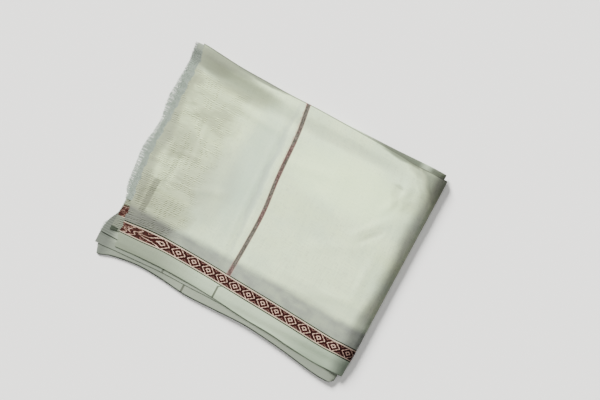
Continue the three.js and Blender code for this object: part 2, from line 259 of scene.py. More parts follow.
def dents(x, y, table):
    total = np.zeros(np.broadcast(x, y).shape)
    for *oval, height in table:
        along, across = in_oval(x, y, *oval)
        total = total + height * np.exp(-(along**4) - across**2)
    return total


def bundle_height(x, y):
    risen = mix(AT_ENDS, AT_ROLL, eased((x + HALF_LENGTH) / (ROLL_START + HALF_LENGTH)))
    slump = sunk(x + HALF_LENGTH, *END_SLUMP) + sunk(y + HALF_WIDTH, *SELVEDGE_SLUMP)
    slump = slump + sunk(HALF_WIDTH - y, *FOLD_SLUMP)
    inside = faded(FOLD(x) - y, 4, 26) * faded(y, -205, -175)
    height = risen - slump + dents(x, y, THROUGH_ALL) * inside
    pressed = PRESSED * np.maximum(height - LEAST_HEIGHT, 0)
    return height - pressed * faded(y, -188, -228)


print("height in the middle:", round(float(bundle_height(0.0, 0.0)), 1), "mm")

# %% Creases of the uppermost ply
TOP_SWELLS = [
    (60, 10, 230, 120, 0, 2.2),
    (-130, 40, 110, 75, -4, 2.2),
    (-150, 222, 120, 9, -3, 1.5),
    (192, 72, 40, 7, 50, 0.9),
    (203, 56, 34, 6, 52, -0.7),
    (214, 146, 40, 8, 66, 0.9),
    (240, 140, 14, 5, 62, -0.9),
    (207, 168, 11, 4, -6, -0.9),
    (205, 176, 14, 5, -8, 0.6),
    (222, 180, 9, 34, 14, 0.8),
    (-170, -118, 70, 14, 3, 1.4),
    (120, -150, 130, 16, -2, 1.2),
    (-48, 20, 8, 150, 3, 0.6),
    (-30, 40, 9, 150, 3, 0.35),
    (-215, 160, 60, 6, -5, 1.4),
    (-120, 158, 60, 7, -5, 1.2),
    (-235, 108, 30, 5, 14, 1.2),
    (-215, 96, 26, 4, -12, -1.0),
    (-236, 20, 7, 40, 5, 1.4),
    (-243, 127, 16, 4, 10, 1.4),
    (-240, 121, 14, 4, 8, -0.9),
    (-211, 124, 17, 4, -7, 1.0),
    (-206, 97, 12, 4, 95, 1.0),
    (-240, 26, 60, 6, 0, 1.0),
    (-208, -8, 5, 52, -4, -1.0),
    (-186, 60, 5, 44, 7, 1.0),
    (-232, -60, 26, 5, 5, 1.2),
    (-240, -84, 5, 26, 3, -1.4),
    (-204, -92, 30, 6, -6, 0.8),
    (-130, -20, 44, 9, 22, 0.8),
    (-82, 90, 50, 9, -34, 0.8),
    (30, 118, 70, 12, 9, 0.7),
    (96, 70, 46, 9, -24, 0.5),
    (150, 6, 66, 12, 28, 0.6),
    (60, -52, 80, 12, -12, 0.5),
    (176, -92, 60, 9, 16, 0.6),
    (228, -30, 8, 36, 5, 0.7),
    (232, 70, 7, 30, -5, -0.6),
]


def top_lift(x, y):
    """How far the uppermost ply rides up; it lies down again towards its edges."""
    fade = faded(FOLD(x) - y, 5, 24) * faded(y, -172, -140)
    return dents(x, y, TOP_SWELLS) * fade * faded(x, -262, -225) * faded(x, 250, 225)


def top_settle(run, y):
    """How far the uppermost ply sinks past the selvedges below it, less so on the roll."""
    sunk_in = 1.7 * faded(y, -172, -190) + 2.8 * faded(y, -187, -204) + 0.9 * faded(y, -212, -219)
    return sunk_in * (1 - 0.6 * faded(run, 235, 275))


def ripple(x, y, number):
    """A slow wave of a fraction of a millimetre, different in each ply."""
    a, b = 0.9 + 0.37 * number, 2.1 * number
    return (
        0.16 * np.sin(x * 0.041 * a + b + y * 0.006)
        + 0.10 * np.sin(x * 0.093 - b * 1.7 + y * 0.021)
        + 0.08 * np.sin(y * 0.057 * a + b * 2.3)
    )


print(len(TOP_SWELLS), "creases and swells on top")

# %% [markdown]
# ## The outermost length
#
# The uppermost doubled length comes from its frayed cut end, lies over everything, and rolls
# over the bundle at the other end and down to the table. Two loose sheets would be easier to
# make, but would show a gap along the fold. So one grid is folded along its middle: its rows run
# from the first selvedge to the fold and back to the second. Round the roll its plies are nested
# ellipses, so they never cross.

# %% Fold a flat grid
SMOOTH_BELOW = math.radians(50)  # edges that turn by less look rounded


def flat_grid(name, along, across):
    """A flat piece of cloth, one unit long and wide, with its shares along and across."""
    bpy.ops.object.select_all(action="DESELECT")
    bpy.ops.mesh.primitive_grid_add(x_subdivisions=along, y_subdivisions=across, size=1)
    cloth = bpy.context.object
    cloth.name = name
    cloth.data.name = name
    flat = np.empty(3 * len(cloth.data.vertices))
    cloth.data.vertices.foreach_get("co", flat)
    flat = flat.reshape(-1, 3) + 0.5
    return cloth, flat[:, 0], flat[:, 1]


def shape_cloth(cloth, points, threads, thickness):
    """Moves the grid's points to their folded places and gives it a wall and a thread map."""
    mesh = cloth.data
    mesh.vertices.foreach_set("co", (np.stack(points, axis=1) * MM).ravel())
    corners = np.empty(len(mesh.loops), dtype=np.int32)
    mesh.loops.foreach_get("vertex_index", corners)
    thread_map = mesh.uv_layers[0]
    thread_map.name = "threads"
    places = np.stack(threads, axis=1)[corners] * MM
    thread_map.data.foreach_set("uv", places.ravel())
    mesh.update()
    wall = cloth.modifiers.new("wall", "SOLIDIFY")
    wall.thickness = thickness * MM
    wall.offset = -1
    bpy.ops.object.modifier_apply(modifier=wall.name)
    bpy.ops.object.shade_smooth_by_angle(angle=SMOOTH_BELOW)


# %% Spread the rows over a doubled length
WALL = 0.7  # millimetres of cloth
FOLD_SHARE = 0.03  # share of the rows that go round the lengthwise fold


def doubled(across):
    """For each share across: the share from selvedge to fold, the turn, and the lower ply."""
    half = (1 - FOLD_SHARE) / 2
    turn = np.pi * np.clip((across - half) / FOLD_SHARE, 0, 1)
    from_edge = np.where(across < 0.5, across, 1 - across) / half
    return np.clip(from_edge, 0, 1), turn, across > 0.5


print(FOLD_SHARE, "of the rows go round the fold, whose radius is", BEND, "mm")

# %% Roll the cloth over the end of the bundle
ROLL_SHOULDER, ROLL_TUCK, ROLL_WIDEST = 36, 14, 0.4
THINNEST = 0.3  # how near to the roll's middle line a layer may come


def round_the_roll(turn, y, depth, slack=0):
    """A point of the roll: an upper and a lower quarter of nested ellipses."""
    height = bundle_height(ROLL_START, y)
    middle = ROLL_WIDEST * height
    upper = turn <= np.pi / 2
    shoulder = ROLL_SHOULDER - slack
    wide = np.where(upper, shoulder, ROLL_TUCK) - depth
    tall = np.where(upper, height - middle, middle) - depth
    centre = ROLL_START + np.where(upper, 0, shoulder - ROLL_TUCK)
    x = centre + np.maximum(wide, THINNEST) * np.sin(turn)
    return x, middle + np.maximum(tall, THINNEST) * np.cos(turn)


def length_round(turn):
    """How much cloth has gone round the roll by this turn."""
    turns = np.linspace(0, np.pi, 91)
    steps = np.hypot(*np.diff(round_the_roll(turns, 0.0, 0.0)))
    return np.interp(turn, turns, np.concatenate([[0], np.cumsum(steps)]))


print("a quarter of the roll takes", round(float(length_round(np.pi / 2)), 1), "mm of cloth")

# %% Map the threads of the uppermost ply
# The cloth isn't square any more: the weaver's stripe bows, and the frayed end was pulled long.
STRIPE_SWAY = smooth_line([-139, -70, -2, 70, 170, 233], [0, 2.4, 2.4, -4.8, -10.8, -20])
SWAY_BELOW = -7.5  # how far it stands aside below the border
MOTIF_PITCH = 33
MOTIF_X = [-276, -249, -228, -199, -158, -139]  # pulled out of step near the cut end
MOTIF_X += [-121, -85, -52, -20, 10, 42, 75, 107, 139, 172, 206, 240]
MOTIF_COUNT = [-1.2, -0.5, 0, 0.5, 1, 1.5, *range(2, 14)]
STRIPE_AT = 173.6
STRIPE_BELOW = 174  # the same on the thread map of the plies below
HALF_CUT = 435  # half the width of the cloth
TRUE_NEAR = 90  # the thread map of the plies below is true to size this near their selvedges
BORDER_LOW, BORDER_HIGH = 29, 55
BORDER_X = [-288, -249, -196, -152, -60, 0, 75, 150, 215, 245, 285]
BORDER_LOW_Y = smooth_line(
    BORDER_X, [-174, -172, -169.5, -166, -168, -170.8, -174.5, -178.5, -183, -183, -180]
)
BORDER_HIGH_Y = smooth_line(
    BORDER_X, [-150, -148, -142, -140, -142.5, -145.6, -149, -153, -157, -157.5, -153]
)


def top_threads(x, y, run):
    """Millimetres along and across the flat cloth, stretched as the diamonds are."""
    low, high = BORDER_LOW_Y(x), BORDER_HIGH_Y(x)
    sway = STRIPE_SWAY(y) + SWAY_BELOW * eased((low - y) / 4)
    steady = run - sway
    pulled = np.interp(steady, MOTIF_X, MOTIF_COUNT)
    along = MOTIF_PITCH * pulled + np.maximum(steady - MOTIF_X[-1], 0)
    edge, fold = SELVEDGE["first"](x), FOLD(x)
    below = BORDER_LOW * (y - edge) / (low - edge)
    inside = mix(BORDER_LOW, BORDER_HIGH, (y - low) / (high - low))
    above = mix(BORDER_HIGH, HALF_CUT, (y - high) / (fold - high))
    return along, np.where(y < low, below, np.where(y < high, inside, above))


def plain_threads(run, y, edge, fold, second):
    """The same, true to size near the selvedge."""
    off = y - edge
    past = np.clip((off - TRUE_NEAR) / np.maximum(fold - edge - TRUE_NEAR, 1), 0, 1)
    across = np.where(off < TRUE_NEAR, off, mix(TRUE_NEAR, HALF_CUT, past))
    return run, np.where(second, 2 * HALF_CUT - across, across)


print("the border lies", BORDER_LOW, "to", BORDER_HIGH, "mm from the selvedge")

# %% Make the outermost length
OUTER_TURN = math.radians(162)  # how far it goes round the roll
OUTER_ROLL = 0.14  # share of its length on the roll
SECOND_STRIPE_X = -12  # where the stripe lies on its second ply


def rows_along(share, end, roll_share, last_turn):
    """Turns a share along the length into X on the flat and a turn round the roll."""
    flat_share = np.clip(share / (1 - roll_share), 0, 1)
    turn = last_turn * np.clip((share - 1 + roll_share) / roll_share, 0, 1)
    return mix(end, ROLL_START, flat_share), turn


def lay_doubled(along, across, plies, fold_line, roll_share, last_turn):
    """Where the points of a doubled length lie, how far each has turned, and its ply's edge."""
    from_edge, fold_turn, second = doubled(across)

    def ply_line(lines, at):
        return np.where(second, lines[plies[1]](at), lines[plies[0]](at))

    x, turn = rows_along(along, ply_line(SHORT_END, across * 0), roll_share, last_turn)
    for _ in range(2):  # the end of a ply depends on y, and its y on x
        y = mix(ply_line(SELVEDGE, x), fold_line(x) - BEND, from_edge)
        x, turn = rows_along(along, ply_line(SHORT_END, y), roll_share, last_turn)
    return x, y, turn, fold_turn, second, ply_line(SELVEDGE, x)


def rolled_out(x, y, turn, fold_turn, depth, lift=0, slack=0):
    """The points of a doubled length this deep in the bundle, on the flat and on the roll."""
    roll_x, roll_z = round_the_roll(turn, y, depth, slack)
    flat_z = bundle_height(x, y) - depth + lift
    aside = y + BEND * np.sin(fold_turn)
    return np.where(turn > 0, roll_x, x), aside, np.where(turn > 0, roll_z, flat_z)


CORNER_CREASES = [  # as the swells on top, but these run on over the roll
    (244, 203, 38, 9, -55, 0.8),
    (260, 214, 30, 9, -52, -0.6),
    (238, 193, 30, 3, -58, 0.35),
    (256, 192, 30, 3, -60, 0.5),
    (262, 60, 9, 70, 6, 0.5),
    (258, -70, 8, 46, -8, 0.6),
    (270, -130, 7, 40, 5, -0.6),
]


def fold_outermost(along, across):
    x, y, turn, fold_turn, second, edge = lay_doubled(
        along, across, ("first", "second"), FOLD, OUTER_ROLL, OUTER_TURN
    )
    upper = np.cos(fold_turn / 2) ** 4  # 1 on the upper ply, 0 on the lower one
    run = x + length_round(turn)
    creased = dents(run, y, CORNER_CREASES) * faded(FOLD(x) - y, 2, 14) + ripple(run, y, 1)
    depth = BEND - BEND * np.cos(fold_turn) + upper * (top_settle(run, y) - creased)
    points = rolled_out(x, y, turn, fold_turn, depth, lift=upper * top_lift(x, y))
    first_u, first_v = top_threads(x, y, run)
    plain_run = run + (STRIPE_BELOW - SECOND_STRIPE_X)
    plain_u, plain_v = plain_threads(plain_run, y, edge, FOLD(x) - BEND, True)
    return points, (np.where(second, plain_u, first_u), np.where(second, plain_v, first_v))


end_cloth, along, across = flat_grid("end_cloth", 150, 212)
shape_cloth(end_cloth, *fold_outermost(along, across), WALL)
print("end_cloth has", len(end_cloth.data.polygons), "faces")

# %% [markdown]
# ## The length inside it
#
# The other end of the cloth lies just below, folded in the same way. It follows the outermost
# length into the roll, and only its edges show. Strips for those edges would do, but a whole
# sheet is no more work and its edges lie true.

# %% Make the inner length
SLACK = 4  # how much shorter the shoulder is of what lies inside the outermost length
INNER_TURN = math.radians(120)
INNER_ROLL = 0.10
INNER_STRIPE_X = -132


def fold_inner(along, across):
    x, y, turn, fold_turn, second, edge = lay_doubled(
        along, across, ("third", "fourth"), FOLD_BELOW, INNER_ROLL, INNER_TURN
    )
    run = x + length_round(turn)
    depth = DOUBLED + AIR + BEND - BEND * np.cos(fold_turn) - ripple(run, y, 2) * 0.6
    points = rolled_out(x, y, turn, fold_turn, depth, slack=SLACK)
    plain_run = run + (STRIPE_BELOW - INNER_STRIPE_X)
    return points, plain_threads(plain_run, y, edge, FOLD_BELOW(x) - BEND, second)


inner_cloth, along, across = flat_grid("inner_cloth", 110, 150)
shape_cloth(inner_cloth, *fold_inner(along, across), WALL)
print("inner_cloth has", len(inner_cloth.data.polygons), "faces")

# %% [markdown]
# ## The four lowest plies
#
# The middle of the cloth lies lowest. It comes in from the roll, turns round at the cut ends, and
# goes back along the table. A solid slab would be enough from above, but from the side its four
# edges show. It is doubled too, so one sheet gives all four plies: the outer one is both the
# highest and the lowest, and the inner one lies between.

# %% Make the lower length
TURN_SHARE = 0.05  # share of the rows that go round the fold at the cut ends
FAN = 2.5  # how far the lowest selvedge lies outside the highest
INNER_RADIUS = 0.36  # of the inner ply, as a share of the outer one's
UNDERSIDE = 0.25
LOW_ROLL = 0.16  # share of its upper plies that lies in the roll
LOW_TURN = math.radians(140)  # how far its upper plies go round inside the roll
LOW_END = 271  # X where its lowest plies stop under the roll
TURN_RADIUS = 5  # of the fold at the cut ends
ROUNDED = {"from": -222, "over": 21}  # its free corner is rounded past this Y
LOWER_STRIPE_X = -81
LOWEST_RUN = 1100  # the lowest plies are this far along the thread map


def lower_height(x, y):
    """The height of the four lowest plies."""
    return bundle_height(x, y) - 2 * (DOUBLED + AIR)


def fold_lower(along, across):
    from_edge, fold_turn, second = doubled(across)
    within = (1 - np.cos(fold_turn)) / 2  # 0 on the outer ply, 1 on the inner one
    half = (1 - TURN_SHARE) / 2
    turn = np.pi * (1 - np.clip((along - half) / TURN_SHARE, 0, 1))  # pi below, 0 on top
    on_top = turn < np.pi / 2
    from_right = np.clip(np.where(along < 0.5, along, 1 - along) / half, 0, 1)
    share = np.cos(turn) * (1 - (1 - INNER_RADIUS) * within)
    fan = FAN * (0.5 + 0.5 * share) - 1
    rolled = np.where(on_top, np.clip(1 - from_right / LOW_ROLL, 0, 1), 0)
    off_roll = np.clip((from_right - LOW_ROLL) / (1 - LOW_ROLL), 0, 1)
    from_right = np.where(on_top, off_roll, from_right)
    right = np.where(on_top, ROLL_START, LOW_END)
    x = mix(right, SHORT_END["rest"](across * 0), from_right)
    for _ in range(2):
        edge = SELVEDGE["rest"](x) + fan
        fold = FOLD_BELOW(x) - 2 - 1.5 * (1 - share) / 2
        y = mix(edge, fold - 2, from_edge)
        x = mix(right, SHORT_END["rest"](y) + 4, from_right)
    low = lower_height(np.minimum(x, ROLL_START), y)
    z = UNDERSIDE + (low - UNDERSIDE) / 2 * (1 + share)
    loose = np.sin(np.pi * np.clip((1 + share) / 2, 0, 1))
    wave = ripple(x, y, 3 + within) * 1.6 * loose * eased((ROLL_START - x) / 40)
    x = x - TURN_RADIUS * (1 - 0.5 * within) * np.sin(turn)
    inner_depth = within * (1 - INNER_RADIUS) / 2 * (low - UNDERSIDE)
    depth = 2 * (DOUBLED + AIR) + inner_depth
    roll_x, roll_z = round_the_roll(rolled * LOW_TURN, y, depth, SLACK)
    x = np.where(rolled > 0, roll_x, x)
    z = np.where(rolled > 0, roll_z, z + wave)
    past = np.clip((ROUNDED["from"] - y) / ROUNDED["over"], 0, 1)
    reach = 2 + (LOW_END + 4 - ROLL_START) * np.sqrt(1 - past**2)
    x = np.where(x > ROLL_START, ROLL_START + np.minimum(x - ROLL_START, reach), x)
    points = (x, y + 2 * np.sin(fold_turn), z)
    upper_run = x + (STRIPE_BELOW - LOWER_STRIPE_X) + length_round(rolled * LOW_TURN)
    run = np.where(along < 0.5, LOWEST_RUN - (LOW_END - x), upper_run)
    return points, plain_threads(run, y, edge, fold - 2, second)


lower_cloth, along, across = flat_grid("lower_cloth", 210, 130)
shape_cloth(lower_cloth, *fold_lower(along, across), WALL)
print("lower_cloth has", len(lower_cloth.data.polygons), "faces")

# %% [markdown]
# ## Frayed ends
#
# At a cut end the crossing threads have worked loose, and the long ones stand free as a fine
# ragged fray. Hair strands would be quicker, but they are no mesh and can't be handed over. So
# each yarn is a spline that wanders and droops. All of them share one curve object, whose round
# bevel gives them their thickness, and the curve is then turned into a mesh.

# %% Spin the yarns
POINTS_IN_YARN = 7
YARN_TAPER = 0.75  # how thick a yarn still is at its tip
ROOT_INSIDE = 2.5  # how far inside the cut end each yarn starts


def yarn_curve(name, thickness):
    curve = bpy.data.curves.new(name, "CURVE")
    curve.dimensions = "3D"
    curve.bevel_depth = thickness / 2 * MM
    curve.bevel_resolution = 0
    curve.use_fill_caps = True
    return curve


def lay_yarn(curve, points, taper):
    spline = curve.splines.new("POLY")
    spline.points.add(len(points) - 1)
    for k, point in enumerate(points):
        spline.points[k].co = (*(coordinate * MM for coordinate in point), 1)
        spline.points[k].radius = mix(1, taper, k / (len(points) - 1))


def as_mesh(name, curve):
    yarns = bpy.data.objects.new(name, curve)
    bpy.context.collection.objects.link(yarns)
    bpy.ops.object.select_all(action="DESELECT")
    yarns.select_set(True)
    bpy.context.view_layer.objects.active = yarns
    bpy.ops.object.convert(target="MESH")
    bpy.ops.object.shade_smooth()
    return bpy.context.object


# %% Fray the outermost end
TIP_Y = [-106, -80, -50, -22, 0, 20, 38, 58, 78, 98, 118, 140, 170, 194, 208, 224]
TIP_X = [-266, -276, -280, -283, -285, -284, -281, -279]
TIP_X += [-281, -285, -287, -286, -285, -284, -285, -288]
TIPS = smooth_line(TIP_Y, TIP_X)
chance = random.Random(7)


def fray(curve, first, last, pitch, start_of, tip_of, height_of, droop):
    """Lays long yarns side by side, about so many millimetres apart."""
    y = first
    while y < last:
        root, tip = float(start_of(y)) + ROOT_INSIDE, float(tip_of(y))
        tip += chance.uniform(-1.4, 1.6) + (chance.uniform(1, 4) if chance.random() < 0.1 else 0)
        sway, aside = chance.uniform(-1.2, 1.2), chance.uniform(-1.6, 1.6)
        points = []
        for k in range(POINTS_IN_YARN):
            share = k / (POINTS_IN_YARN - 1)
            x = mix(root, tip, share)
            wander = sway * math.sin(share * 5 + y) * share + aside * share * share
            points.append((x, y + wander, height_of(x, y) - 0.4 - droop * share * share))
        lay_yarn(curve, points, YARN_TAPER)
        y += pitch * chance.uniform(0.7, 1.3)


def top_of_first(x, y):
    return float(bundle_height(np.maximum(x, -HALF_LENGTH), y))


end_yarns = yarn_curve("end_yarns", thickness=0.95)
fray(end_yarns, -106, 225, 0.45, SHORT_END["first"], TIPS, top_of_first, droop=1.2)
print(len(end_yarns.splines), "long yarns stand free")


# %% Leave some crossing threads in the fray
CROSSING_LINES = 6


def crossing(curve, first, last, share, start_of, tip_of, height_of):
    """Lays one yarn across the long ones, at a share of their free length."""
    points = []
    y = first
    while y < last:
        x = mix(float(start_of(y)), float(tip_of(y)), share) + chance.uniform(-0.5, 0.5)
        points.append((x, y, height_of(x, y) - 0.3 - 1.5 * share * share))
        y += 4
    if len(points) > 2:
        lay_yarn(curve, points, 1.0)


for line in range(CROSSING_LINES):
    share = 0.02 + 0.11 * line
    y = -104 + chance.uniform(0, 20)
    while y < 215:
        stretch = chance.uniform(40, 130) * (1.1 - 0.6 * share)
        crossing(end_yarns, y, min(y + stretch, 222), share, SHORT_END["first"], TIPS, top_of_first)
        y += stretch + chance.uniform(4, 24) * (0.5 + 2 * share)

end_fray = as_mesh("end_fray", end_yarns)
print("end_fray has", len(end_fray.data.polygons), "faces")


# %% Fray the inner end
def top_of_third(x, y):
    return float(bundle_height(np.maximum(x, -HALF_LENGTH), y)) - DOUBLED - AIR


inner_yarns = yarn_curve("inner_yarns", thickness=0.8)
inner_tip = smooth_line([-188, -170, -156, 140, 190, 236], [-281, -281, -274, -280, -284, -291])
fray(inner_yarns, -187, -156, 0.7, SHORT_END["third"], inner_tip, top_of_third, droop=0.6)
fray(inner_yarns, 130, 236, 0.5, SHORT_END["third"], inner_tip, top_of_third, droop=0.6)
inner_fray = as_mesh("inner_fray", inner_yarns)
print("inner_fray has", len(inner_fray.data.polygons), "faces")

# %% [markdown]
# ## Cotton, thread by thread
#
# The finish has to follow the cloth, so it reads the thread map that every sheet carries: metres
# along the cloth and across it. A picture of the cloth would be quicker, but it would blur in a
# close view. Small sums chart it as a weaver would, in steps of one thread.

# %% A short way to write sums of nodes
def feed(tree, slot, value):
    """Puts a number or a colour into a node's slot, or links a sum or a socket to it."""
    value = getattr(value, "socket", value)
    if isinstance(value, bpy.types.NodeSocket):
        tree.links.new(value, slot)
    else:
        slot.default_value = value


def step(operation):
    """A method that works out one step, from a sum and whatever else it takes."""

    def method(self, *others):
        node = self.tree.nodes.new("ShaderNodeMath")
        node.operation = operation
        for slot, value in zip(node.inputs, (self, *others)):
            feed(self.tree, slot, value)
        return Sum(self.tree, node.outputs[0])

    return method


class Sum:
    """A node socket that can be added, multiplied and compared like a number."""

    __add__, __sub__ = step("ADD"), step("SUBTRACT")
    __mul__, __truediv__ = step("MULTIPLY"), step("DIVIDE")
    least, most = step("MINIMUM"), step("MAXIMUM")
    size, whole, wave = step("ABSOLUTE"), step("FLOOR"), step("SINE")
    wrapped_between = step("WRAP")

    def __init__(self, tree, socket):
        self.tree, self.socket = tree, socket

    def wrapped(self, width):
        return self.wrapped_between(width, 0)

    def rises(self, start, end):
        """0 before start, 1 after end, eased between; the other way round if end < start."""
        node = self.tree.nodes.new("ShaderNodeMapRange")
        node.interpolation_type = "SMOOTHSTEP"
        self.tree.links.new(self.socket, node.inputs["Value"])
        limits = (*sorted((start, end)), start > end, start < end)
        for name, limit in zip(("From Min", "From Max", "To Min", "To Max"), limits):
            node.inputs[name].default_value = limit
        return Sum(self.tree, node.outputs["Result"])

    def between(self, start, end, soft):
        """1 from start to end, with soft edges."""
        return self.rises(start - soft, start + soft) * self.rises(end + soft, end - soft)


# %% The places and the noises that a finish reads
FULL_LIGHT = 2.45  # how much light a surface that faces up gives back if it is pure white
LOOKS = [0, 32, 76, 136, 160, 177, 193, 205, 217, 230]  # a tone as it comes out, from 0 to 255
GIVES = [0, 0.02, 0.08, 0.25, 0.4, 0.6, 0.9, 1.3, 2.0, 3.5]  # and the light that it needs
DULL = 0.02  # raw cotton has next to no shine
BUMP = 0.1  # millimetres that a step of 1 in the relief stands for


def tone(red, green, blue):
    """The dye that comes out as this colour, each part from 0 to 255, in the studio's light."""
    light = np.interp([red, green, blue], LOOKS, GIVES) / FULL_LIGHT
    return (*light.tolist(), 1)


class Finish:
    """A cotton finish under construction: its node tree, places and colour so far."""

    def __init__(self, name, colour):
        self.material = bpy.data.materials.new(name)
        self.material.use_nodes = True
        self.tree = self.material.node_tree
        self.shader = self.tree.nodes["Principled BSDF"]
        coordinates = self.tree.nodes.new("ShaderNodeTexCoord")
        self.object_place = coordinates.outputs["Object"]
        uv = self.tree.nodes.new("ShaderNodeUVMap")
        uv.uv_map = "threads"
        self.thread_place = uv.outputs["UV"]
        self.u, self.v = self._parts(self.thread_place)
        self.x, self.y = self._parts(self.object_place)
        self.colour = colour
        self.relief = None

    def _parts(self, socket):
        """The first two parts of a place, in millimetres."""
        node = self.tree.nodes.new("ShaderNodeSeparateXYZ")
        self.tree.links.new(socket, node.inputs[0])
        return [Sum(self.tree, node.outputs[k]) * 1000 for k in range(2)]

    def noise(self, stretch, detail=2.0, seed=0.0, roughness=0.5, threads=True):
        """Noise whose grains are about so many millimetres long and wide."""
        mapping = self.tree.nodes.new("ShaderNodeMapping")
        mapping.inputs["Scale"].default_value = tuple(1000 / size for size in stretch)
        mapping.inputs["Location"].default_value = (seed, seed * 1.7, seed * 0.6)
        place = self.thread_place if threads else self.object_place
        self.tree.links.new(place, mapping.inputs["Vector"])
        node = self.tree.nodes.new("ShaderNodeTexNoise")
        node.inputs["Scale"].default_value = 1
        node.inputs["Detail"].default_value = detail
        node.inputs["Roughness"].default_value = roughness
        self.tree.links.new(mapping.outputs[0], node.inputs["Vector"])
        return Sum(self.tree, node.outputs[0])

    def blend(self, other, share, mode="MIX"):
        """Lays another colour over what is there, by a share from 0 to 1."""
        node = self.tree.nodes.new("ShaderNodeMix")
        node.data_type, node.blend_type = "RGBA", mode
        for slot, value in (("Factor", share), (6, self.colour), (7, other)):
            feed(self.tree, node.inputs[slot], value)
        self.colour = node.outputs[2]

    def raise_by(self, height):
        self.relief = height if self.relief is None else self.relief + height

    def done(self, roughness):
        self.tree.links.new(self.colour, self.shader.inputs["Base Color"])
        self.shader.inputs["Roughness"].default_value = roughness
        self.shader.inputs["Specular IOR Level"].default_value = DULL
        node = self.tree.nodes.new("ShaderNodeBump")
        node.inputs["Distance"].default_value = BUMP * MM
        self.tree.links.new(self.relief.socket, node.inputs["Height"])
        self.tree.links.new(node.outputs[0], self.shader.inputs["Normal"])
        return self.material


# %% The plain weave
THREAD = 0.8  # millimetres from one thread to the next
OFF_WHITE = tone(211, 216.5, 203)
SHADED_WHITE = tone(203, 209.5, 199)
WARM_WHITE = tone(209, 214.5, 196)


def plain_weave(dye):
    """Threads over and under each other, uneven as hand-spun yarn is, and soft mottling."""
    over = (dye.u * (math.pi / THREAD)).wave()
    under = (dye.v * (math.pi / THREAD)).wave()
    dye.raise_by(over * under * 0.35)
    thick_warp = dye.noise((60, 1.3, 1), detail=1, seed=3)
    thick_weft = dye.noise((1.3, 60, 1), detail=1, seed=9)
    dye.raise_by(thick_warp * 0.5 + thick_weft * 0.5)
    dye.blend(SHADED_WHITE, dye.noise((90, 70, 1), seed=1).rises(0.42, 0.68) * 0.55)
    dye.blend(WARM_WHITE, dye.noise((140, 60, 1), seed=5).rises(0.45, 0.7) * 0.5)
    uneven = (thick_warp + thick_weft).rises(0.72, 1.2)
    dye.blend(SHADED_WHITE, uneven * 0.4)
    streaks = dye.noise((11, 2.2, 1), seed=15) + dye.noise((2.4, 9, 1), seed=19)
    dye.raise_by(streaks * 1.6)
    dye.blend(tone(190, 195, 184), streaks.rises(1.0, 1.3) * 0.3)


print("a thread every", THREAD, "mm")

# %% [markdown]
# ## The woven border
#
# Between two dark green lines runs a row of diamonds on a pale ground: ring within ring round a
# dot, with dark crosses between them. A weaver would draw it on squared paper. Here all of it
# follows from one distance, counted in threads along plus threads across from the middle of the
# nearest diamond, and a ramp with hard steps gives each distance its thread colour.

# %% Chart the border
PATTERN_STEP = 1.1  # millimetres from one thread of the pattern to the next
GREEN = tone(40, 58, 44)
GROUND = tone(199, 193, 182)
PINK = tone(172, 140, 130)
MAROON = tone(78, 32, 32)
NEAR_BLACK = tone(42, 26, 23)
PALE = tone(204, 190, 180)
RINGS = [  # from this many millimetres on, this thread
    (0.0, NEAR_BLACK),
    (2.8, PALE),
    (4.9, NEAR_BLACK),
    (6.4, MAROON),
    (8.4, NEAR_BLACK),
    (10.2, PALE),
    (11.8, NEAR_BLACK),
    (14.4, MAROON),
    (16.2, NEAR_BLACK),
    (18.4, PINK),
    (19.4, NEAR_BLACK),
]
FURTHEST = 30
SQUAT = 0.8  # how much lower than wide each diamond is


def chart(dye, distance):
    """The thread's colour at a distance from the diamond's middle."""
    ramp = dye.tree.nodes.new("ShaderNodeValToRGB")
    ramp.color_ramp.interpolation = "CONSTANT"
    stops = ramp.color_ramp.elements
    while len(stops) < len(RINGS):
        stops.new(0.5)
    for stop, (start, colour) in zip(stops, RINGS):
        stop.position = start / FURTHEST
        stop.color = colour
    dye.tree.links.new((distance / FURTHEST).socket, ramp.inputs["Fac"])
    return ramp.outputs["Color"]


def border(dye, off_edge):
    middle = (BORDER_LOW + BORDER_HIGH) / 2
    crumpled = dye.x.rises(-165, -205)
    along = dye.u + (dye.noise((36, 7, 1), detail=0, seed=25) - 0.5) * 30 * crumpled
    along = ((along / PATTERN_STEP).whole() + 0.5) * PATTERN_STEP + MOTIF_PITCH / 2
    along = (along.wrapped(MOTIF_PITCH) - MOTIF_PITCH / 2).size()
    across = (((off_edge / PATTERN_STEP).whole() + 0.5) * PATTERN_STEP - middle).size()
    dye.blend(GROUND, off_edge.between(BORDER_LOW, BORDER_HIGH, 0.4))
    dye.blend(chart(dye, along * SQUAT + across), across.rises(10.0, 9.8))
    # the border is darker where it is crumpled near the cut end
    darker_where_crumpled = crumpled * off_edge.between(BORDER_LOW + 2, BORDER_HIGH - 2, 0.5)
    dye.blend(tone(92, 54, 46), darker_where_crumpled * 0.35)
    lines = off_edge.between(BORDER_LOW - 1.2, BORDER_LOW + 1.0, 0.2)
    lines = lines.most(off_edge.between(BORDER_HIGH - 1.0, BORDER_HIGH + 1.2, 0.2))
    dye.blend(GREEN, lines)


print("a diamond of", len(RINGS), "rings every", MOTIF_PITCH, "mm")

# %% The selvedge and the cross stripe
STRIPE_BROWN = tone(132, 130, 117)
STRIPE_DARK = tone(92, 82, 74)
STRIPE_PINK = tone(196, 160, 154)
STRIPE_RED = tone(142, 92, 94)
STRIPE_GREEN = tone(104, 108, 94)
STRIPE_PALE = tone(170, 156, 148)


def selvedge(dye, off_edge, strip, strength=1.0):
    """A plain strip beside the border, and a line of dark threads along the very edge."""
    dye.blend(strip, off_edge.rises(BORDER_LOW, BORDER_LOW - 2) * 0.9)
    beaten = dye.noise((4, 1, 1), seed=13).rises(0.3, 0.7)
    dye.blend(tone(90, 106, 98), off_edge.rises(0.85, 0.45) * (beaten * 0.3 + 0.5) * strength)


